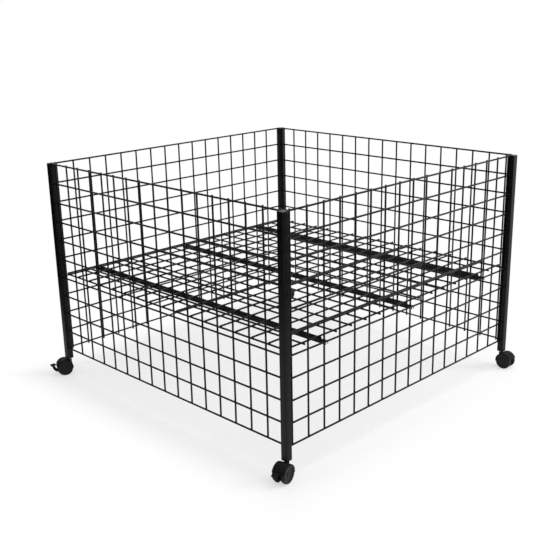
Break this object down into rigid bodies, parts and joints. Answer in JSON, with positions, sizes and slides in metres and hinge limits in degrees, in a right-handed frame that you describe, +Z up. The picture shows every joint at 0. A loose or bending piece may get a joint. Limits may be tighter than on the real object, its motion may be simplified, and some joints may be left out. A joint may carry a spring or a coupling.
{
  "type": "retail dump bin",
  "caption": "Square black wire-grid dump bin on corner posts with swivel casters, holding a loose wire-grid shelf on hooked bars.",
  "frame": {"origin": "on the floor, at the middle of the corner posts", "axes": "+Z up; +X along the shelf's support bars towards the right side; -Y towards the front side"},
  "size_m": [1.3713, 1.402, 0.881],
  "materials": {
    "black_powder_coat": "semi-gloss powder coat",
    "black_plastic": "moulded, fine texture",
    "caster_wheel": "moulded, smooth tread",
    "zinc_steel": "zinc plated"
  },
  "bodies": {
    "frame": {"panel_front": "black_powder_coat", "panel_right": "black_powder_coat", "panel_rear": "black_powder_coat", "panel_left": "black_powder_coat", "post_front_right": "black_powder_coat", "post_cap_front_right": "black_plastic", "caster_socket_front_right": "black_plastic", "caster_stem_front_right": "zinc_steel", "post_rear_right": "black_powder_coat", "post_cap_rear_right": "black_plastic", "caster_socket_rear_right": "black_plastic", "caster_stem_rear_right": "zinc_steel", "post_rear_left": "black_powder_coat", "post_cap_rear_left": "black_plastic", "caster_socket_rear_left": "black_plastic", "caster_stem_rear_left": "zinc_steel", "post_front_left": "black_powder_coat", "post_cap_front_left": "black_plastic", "caster_socket_front_left": "black_plastic", "caster_stem_front_left": "zinc_steel"},
    "caster_front_right": {"caster_hood_front_right": "black_plastic", "caster_axle_front_right": "zinc_steel"},
    "wheel_a_front_right": {"caster_wheel_a_front_right": "caster_wheel"},
    "wheel_b_front_right": {"caster_wheel_b_front_right": "caster_wheel"},
    "brake_front_right": {"brake_pedal_front_right": "black_plastic"},
    "caster_rear_right": {"caster_hood_rear_right": "black_plastic", "caster_axle_rear_right": "zinc_steel"},
    "wheel_a_rear_right": {"caster_wheel_a_rear_right": "caster_wheel"},
    "wheel_b_rear_right": {"caster_wheel_b_rear_right": "caster_wheel"},
    "caster_rear_left": {"caster_hood_rear_left": "black_plastic", "caster_axle_rear_left": "zinc_steel"},
    "wheel_a_rear_left": {"caster_wheel_a_rear_left": "caster_wheel"},
    "wheel_b_rear_left": {"caster_wheel_b_rear_left": "caster_wheel"},
    "caster_front_left": {"caster_hood_front_left": "black_plastic", "caster_axle_front_left": "zinc_steel"},
    "wheel_a_front_left": {"caster_wheel_a_front_left": "caster_wheel"},
    "wheel_b_front_left": {"caster_wheel_b_front_left": "caster_wheel"},
    "brake_front_left": {"brake_pedal_front_left": "black_plastic"},
    "support_bar_front": {"support_bar_front": "black_powder_coat"},
    "support_bar_middle": {"support_bar_middle": "black_powder_coat"},
    "support_bar_rear": {"support_bar_rear": "black_powder_coat"},
    "shelf": {"shelf_grid": "black_powder_coat"}
  },
  "joints": [
    {"name": "caster_swivel_front_right", "type": "hinge", "parent": "frame", "child": "caster_front_right", "pos_m": [0.62709, -0.6365, 0.068], "axis": [0, 0, 1], "continuous": true},
    {"name": "wheel_spin_a_front_right", "type": "hinge", "parent": "caster_front_right", "child": "wheel_a_front_right", "pos_m": [0.63167, -0.65802, 0.03175], "axis": [0.9781, 0.2079, 0], "continuous": true},
    {"name": "wheel_spin_b_front_right", "type": "hinge", "parent": "caster_front_right", "child": "wheel_b_front_right", "pos_m": [0.63167, -0.65802, 0.03175], "axis": [0.9781, 0.2079, 0], "continuous": true},
    {"name": "brake_press_front_right", "type": "hinge", "parent": "caster_front_right", "child": "brake_front_right", "pos_m": [0.63624, -0.67954, 0.02575], "axis": [0.9781, 0.2079, 0], "range_deg": [0, 14]},
    {"name": "caster_swivel_rear_right", "type": "hinge", "parent": "frame", "child": "caster_rear_right", "pos_m": [0.6365, 0.62709, 0.068], "axis": [0, 0, 1], "continuous": true},
    {"name": "wheel_spin_a_rear_right", "type": "hinge", "parent": "caster_rear_right", "child": "wheel_a_rear_right", "pos_m": [0.6585, 0.62709, 0.03175], "axis": [0, 1, 0], "continuous": true},
    {"name": "wheel_spin_b_rear_right", "type": "hinge", "parent": "caster_rear_right", "child": "wheel_b_rear_right", "pos_m": [0.6585, 0.62709, 0.03175], "axis": [0, 1, 0], "continuous": true},
    {"name": "caster_swivel_rear_left", "type": "hinge", "parent": "frame", "child": "caster_rear_left", "pos_m": [-0.62709, 0.6365, 0.068], "axis": [0, 0, 1], "continuous": true},
    {"name": "wheel_spin_a_rear_left", "type": "hinge", "parent": "caster_rear_left", "child": "wheel_a_rear_left", "pos_m": [-0.62709, 0.6585, 0.03175], "axis": [-1, 0, 0], "continuous": true},
    {"name": "wheel_spin_b_rear_left", "type": "hinge", "parent": "caster_rear_left", "child": "wheel_b_rear_left", "pos_m": [-0.62709, 0.6585, 0.03175], "axis": [-1, 0, 0], "continuous": true},
    {"name": "caster_swivel_front_left", "type": "hinge", "parent": "frame", "child": "caster_front_left", "pos_m": [-0.6365, -0.62709, 0.068], "axis": [0, 0, 1], "continuous": true},
    {"name": "wheel_spin_a_front_left", "type": "hinge", "parent": "caster_front_left", "child": "wheel_a_front_left", "pos_m": [-0.6458, -0.64703, 0.03175], "axis": [0.9063, -0.4226, 0], "continuous": true},
    {"name": "wheel_spin_b_front_left", "type": "hinge", "parent": "caster_front_left", "child": "wheel_b_front_left", "pos_m": [-0.6458, -0.64703, 0.03175], "axis": [0.9063, -0.4226, 0], "continuous": true},
    {"name": "brake_press_front_left", "type": "hinge", "parent": "caster_front_left", "child": "brake_front_left", "pos_m": [-0.65509, -0.66697, 0.02575], "axis": [0.9063, -0.4226, 0], "range_deg": [0, 14]},
    {"name": "bar_lift_front", "type": "slide", "parent": "frame", "child": "support_bar_front", "axis": [0, 0, 1], "range_m": [0, 0.05]},
    {"name": "bar_lift_middle", "type": "slide", "parent": "frame", "child": "support_bar_middle", "axis": [0, 0, 1], "range_m": [0, 0.05]},
    {"name": "bar_lift_rear", "type": "slide", "parent": "frame", "child": "support_bar_rear", "axis": [0, 0, 1], "range_m": [0, 0.05]},
    {"name": "shelf_lift", "type": "slide", "parent": "support_bar_middle", "child": "shelf", "axis": [0, 0, 1], "range_m": [0, 0.46]}
  ],
  "couplings": [
    {"joint": "bar_lift_front", "follows": "bar_lift_middle", "ratio": 1},
    {"joint": "bar_lift_rear", "follows": "bar_lift_middle", "ratio": 1}
  ]
}
